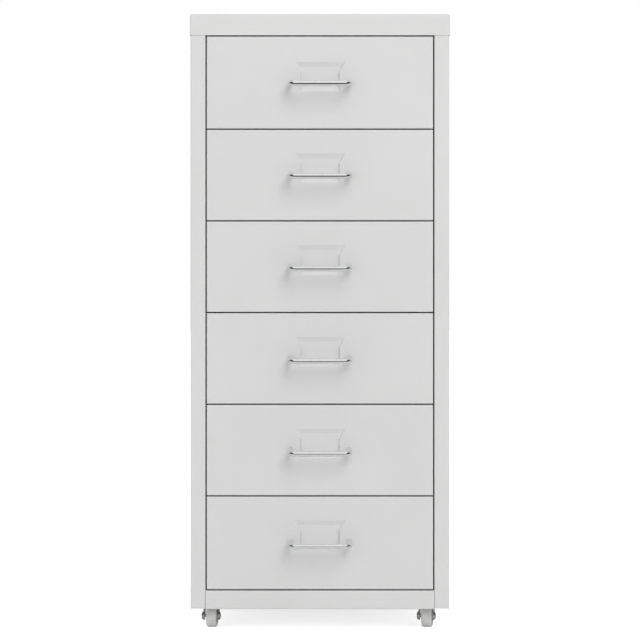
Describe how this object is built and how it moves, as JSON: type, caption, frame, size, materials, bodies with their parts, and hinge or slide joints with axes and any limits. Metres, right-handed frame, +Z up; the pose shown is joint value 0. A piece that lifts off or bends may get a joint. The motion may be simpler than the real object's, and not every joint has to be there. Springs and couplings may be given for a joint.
{
  "type": "small metal drawer cabinet",
  "caption": "Slim sheet-steel cabinet with a column of drawers, chrome wire pulls and pressed label recesses, standing on small swivel castors.",
  "frame": {"origin": "on the floor, under the middle of the whole outline", "axes": "+Z up; drawers open along -Y, which is the front; +X to the right seen from the front"},
  "size_m": [0.2864, 0.4399, 0.68],
  "materials": {
    "white_paint": "smooth satin powder coat",
    "chrome_wire": "polished plating",
    "zinc_steel": "bright zinc plate",
    "spring_steel": "blued spring steel",
    "grey_wheel": "moulded light grey plastic"
  },
  "bodies": {
    "cabinet": {"left_side_panel": "white_paint", "right_side_panel": "white_paint", "back_panel": "white_paint", "top_panel": "white_paint", "bottom_panel": "white_paint", "left_runner_1": "white_paint", "left_runner_2": "white_paint", "left_runner_3": "white_paint", "left_runner_4": "white_paint", "left_runner_5": "white_paint", "left_runner_6": "white_paint", "right_runner_1": "white_paint", "right_runner_2": "white_paint", "right_runner_3": "white_paint", "right_runner_4": "white_paint", "right_runner_5": "white_paint", "right_runner_6": "white_paint", "castor_front_left_plate": "zinc_steel", "castor_front_right_plate": "zinc_steel", "castor_rear_left_plate": "zinc_steel", "castor_rear_right_plate": "zinc_steel", "castor_kingpins": "zinc_steel", "castor_bearing_balls": "zinc_steel", "screws": "zinc_steel"},
    "drawer_1": {"drawer_1_front": "white_paint", "drawer_1_tray": "white_paint", "drawer_1_handle": "chrome_wire", "drawer_1_handle_clips": "spring_steel"},
    "drawer_2": {"drawer_2_front": "white_paint", "drawer_2_tray": "white_paint", "drawer_2_handle": "chrome_wire", "drawer_2_handle_clips": "spring_steel"},
    "drawer_3": {"drawer_3_front": "white_paint", "drawer_3_tray": "white_paint", "drawer_3_handle": "chrome_wire", "drawer_3_handle_clips": "spring_steel"},
    "drawer_4": {"drawer_4_front": "white_paint", "drawer_4_tray": "white_paint", "drawer_4_handle": "chrome_wire", "drawer_4_handle_clips": "spring_steel"},
    "drawer_5": {"drawer_5_front": "white_paint", "drawer_5_tray": "white_paint", "drawer_5_handle": "chrome_wire", "drawer_5_handle_clips": "spring_steel"},
    "drawer_6": {"drawer_6_front": "white_paint", "drawer_6_tray": "white_paint", "drawer_6_handle": "chrome_wire", "drawer_6_handle_clips": "spring_steel"},
    "castor_front_left_swivel": {"castor_front_left_fork": "zinc_steel", "castor_front_left_axle": "zinc_steel"},
    "castor_front_left_roll": {"castor_front_left_wheel": "grey_wheel"},
    "castor_front_right_swivel": {"castor_front_right_fork": "zinc_steel", "castor_front_right_axle": "zinc_steel"},
    "castor_front_right_roll": {"castor_front_right_wheel": "grey_wheel"},
    "castor_rear_left_swivel": {"castor_rear_left_fork": "zinc_steel", "castor_rear_left_axle": "zinc_steel"},
    "castor_rear_left_roll": {"castor_rear_left_wheel": "grey_wheel"},
    "castor_rear_right_swivel": {"castor_rear_right_fork": "zinc_steel", "castor_rear_right_axle": "zinc_steel"},
    "castor_rear_right_roll": {"castor_rear_right_wheel": "grey_wheel"}
  },
  "joints": [
    {"name": "drawer_1_slide", "type": "slide", "parent": "cabinet", "child": "drawer_1", "axis": [0, -1, 0], "range_m": [0, 0.3]},
    {"name": "drawer_2_slide", "type": "slide", "parent": "cabinet", "child": "drawer_2", "axis": [0, -1, 0], "range_m": [0, 0.3]},
    {"name": "drawer_3_slide", "type": "slide", "parent": "cabinet", "child": "drawer_3", "axis": [0, -1, 0], "range_m": [0, 0.3]},
    {"name": "drawer_4_slide", "type": "slide", "parent": "cabinet", "child": "drawer_4", "axis": [0, -1, 0], "range_m": [0, 0.3]},
    {"name": "drawer_5_slide", "type": "slide", "parent": "cabinet", "child": "drawer_5", "axis": [0, -1, 0], "range_m": [0, 0.3]},
    {"name": "drawer_6_slide", "type": "slide", "parent": "cabinet", "child": "drawer_6", "axis": [0, -1, 0], "range_m": [0, 0.3]},
    {"name": "castor_front_left_swivel_turn", "type": "hinge", "parent": "cabinet", "child": "castor_front_left_swivel", "pos_m": [-0.1209, -0.14695, 0.028], "axis": [0, 0, 1], "continuous": true},
    {"name": "castor_front_left_wheel_roll", "type": "hinge", "parent": "castor_front_left_swivel", "child": "castor_front_left_roll", "pos_m": [-0.12148, -0.15793, 0.0125], "axis": [0.9986, -0.0523, 0], "continuous": true},
    {"name": "castor_front_right_swivel_turn", "type": "hinge", "parent": "cabinet", "child": "castor_front_right_swivel", "pos_m": [0.1209, -0.14695, 0.028], "axis": [0, 0, 1], "continuous": true},
    {"name": "castor_front_right_wheel_roll", "type": "hinge", "parent": "castor_front_right_swivel", "child": "castor_front_right_roll", "pos_m": [0.11899, -0.15778, 0.0125], "axis": [0.9848, -0.1736, 0], "continuous": true},
    {"name": "castor_rear_left_swivel_turn", "type": "hinge", "parent": "cabinet", "child": "castor_rear_left_swivel", "pos_m": [-0.1209, 0.17105, 0.028], "axis": [0, 0, 1], "continuous": true},
    {"name": "castor_rear_left_wheel_roll", "type": "hinge", "parent": "castor_rear_left_swivel", "child": "castor_rear_left_roll", "pos_m": [-0.11975, 0.16011, 0.0125], "axis": [0.9945, 0.1045, 0], "continuous": true},
    {"name": "castor_rear_right_swivel_turn", "type": "hinge", "parent": "cabinet", "child": "castor_rear_right_swivel", "pos_m": [0.1209, 0.17105, 0.028], "axis": [0, 0, 1], "continuous": true},
    {"name": "castor_rear_right_wheel_roll", "type": "hinge", "parent": "castor_rear_right_swivel", "child": "castor_rear_right_roll", "pos_m": [0.11994, 0.16009, 0.0125], "axis": [0.9962, -0.0872, 0], "continuous": true}
  ]
}
